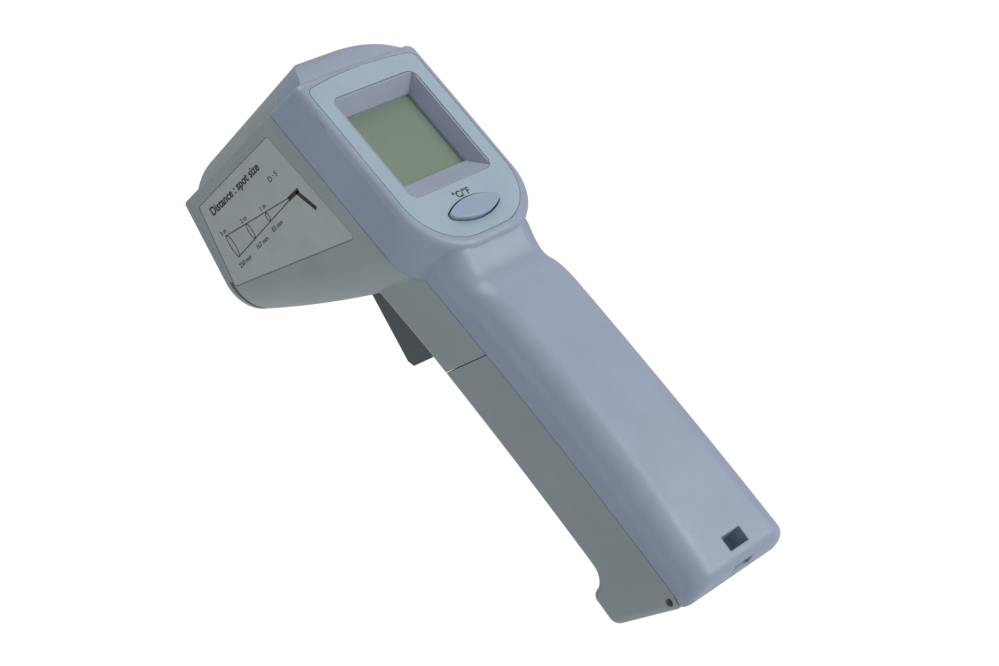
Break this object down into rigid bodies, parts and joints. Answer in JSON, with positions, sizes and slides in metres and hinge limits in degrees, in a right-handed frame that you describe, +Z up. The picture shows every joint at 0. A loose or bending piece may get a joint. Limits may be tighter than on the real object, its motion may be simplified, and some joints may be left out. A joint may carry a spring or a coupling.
{
  "type": "infrared thermometer",
  "caption": "Handheld infrared thermometer: pistol handle with battery door, finger trigger, horizontal barrel with lens port, and a framed display with a mode button on the back.",
  "frame": {"origin": "middle of the hand grip, on the mirror plane, where the grip mount is", "axes": "+Y along the level barrel towards the measured target, +Z up, +X to the right seen from the display side; mirror plane is X=0"},
  "size_m": [0.0434, 0.0987, 0.1596],
  "materials": {
    "front_housing": "fine satin texture, greenish grey",
    "rear_cover": "satin, lavender grey",
    "battery_door": "fine satin texture, greenish grey",
    "nose_plate": "satin, greenish grey",
    "bezel_plate": "smooth satin, pale blue grey",
    "window_frame": "satin, violet grey",
    "lcd_panel": "smooth, green grey",
    "lcd_frame": "black",
    "zebra_strips": "soft",
    "main_pcb": "solder resist",
    "pcb_screws": "plated",
    "pcb_chips": "moulded epoxy",
    "buzzer": "black",
    "mode_button": "satin, blue grey",
    "mode_switch": "black",
    "mode_switch_plunger": "white",
    "trigger": "satin, dark grey",
    "trigger_pin": "ground",
    "trigger_spring": "drawn wire",
    "trigger_switch": "black",
    "trigger_switch_plunger": "red",
    "lens_tube": "black",
    "fresnel_lens": "milky, semi gloss",
    "lens_ring": "black",
    "sensor_holder": "black",
    "thermopile_sensor": "nickel plated can",
    "sensor_pcb": "solder resist",
    "laser_module": "turned",
    "laser_clip": "black",
    "laser_window": "clear",
    "battery": "printed metal sleeve, plain",
    "battery_tray": "black",
    "battery_snap": "black",
    "battery_lead_red": "insulated wire",
    "battery_lead_black": "insulated wire",
    "battery_pad": "closed-cell foam",
    "door_hinge_pin": "ground",
    "door_catch": "spring strip",
    "housing_screws": "plated",
    "label_left": "printed film, plain diagram",
    "label_right": "printed film, plain diagram"
  },
  "bodies": {
    "housing": {"front_housing": "front_housing", "rear_cover": "rear_cover", "nose_plate": "nose_plate", "bezel_plate": "bezel_plate", "window_frame": "window_frame", "lcd_panel": "lcd_panel", "lcd_frame": "lcd_frame", "zebra_strips": "zebra_strips", "main_pcb": "main_pcb", "pcb_screws": "pcb_screws", "pcb_chips": "pcb_chips", "buzzer": "buzzer", "mode_switch": "mode_switch", "trigger_pin": "trigger_pin", "trigger_spring": "trigger_spring", "trigger_switch": "trigger_switch", "lens_tube": "lens_tube", "fresnel_lens": "fresnel_lens", "lens_ring": "lens_ring", "sensor_holder": "sensor_holder", "thermopile_sensor": "thermopile_sensor", "sensor_pcb": "sensor_pcb", "laser_module": "laser_module", "laser_clip": "laser_clip", "laser_window": "laser_window", "battery": "battery", "battery_tray": "battery_tray", "battery_snap": "battery_snap", "battery_lead_red": "battery_lead_red", "battery_lead_black": "battery_lead_black", "door_hinge_pin": "door_hinge_pin", "door_catch": "door_catch", "housing_screws": "housing_screws", "label_left": "label_left", "label_right": "label_right"},
    "trigger": {"trigger": "trigger"},
    "trigger_plunger": {"trigger_switch_plunger": "trigger_switch_plunger"},
    "button": {"mode_button": "mode_button"},
    "button_plunger": {"mode_switch_plunger": "mode_switch_plunger"},
    "door": {"battery_door": "battery_door", "battery_pad": "battery_pad"}
  },
  "joints": [
    {"name": "trigger_pivot", "type": "hinge", "parent": "housing", "child": "trigger", "pos_m": [0, 0.02765, 0.05795], "axis": [-1, 0, 0], "range_deg": [0, 10], "stiffness_Nm_per_rad": 0.3, "springref_deg": -5.73, "deforming": ["trigger_spring"]},
    {"name": "trigger_switch_press", "type": "slide", "parent": "housing", "child": "trigger_plunger", "axis": [0, -0.9563, 0.2924], "range_m": [0, 0.0013]},
    {"name": "mode_button_press", "type": "slide", "parent": "housing", "child": "button", "axis": [0, 0.9563, -0.2924], "range_m": [0, 0.0005], "stiffness_N_per_m": 800, "springref_m": -0.0008},
    {"name": "mode_switch_press", "type": "slide", "parent": "housing", "child": "button_plunger", "axis": [0, 0.9563, -0.2924], "range_m": [0, 0.0005]},
    {"name": "battery_door_hinge", "type": "hinge", "parent": "housing", "child": "door", "pos_m": [0, -0.01369, -0.04204], "axis": [-1, 0, 0], "range_deg": [0, 75]}
  ],
  "couplings": [
    {"joint": "trigger_switch_press", "follows": "trigger_pivot", "m_per_rad": 0.0072},
    {"joint": "mode_switch_press", "follows": "mode_button_press", "ratio": 1}
  ]
}
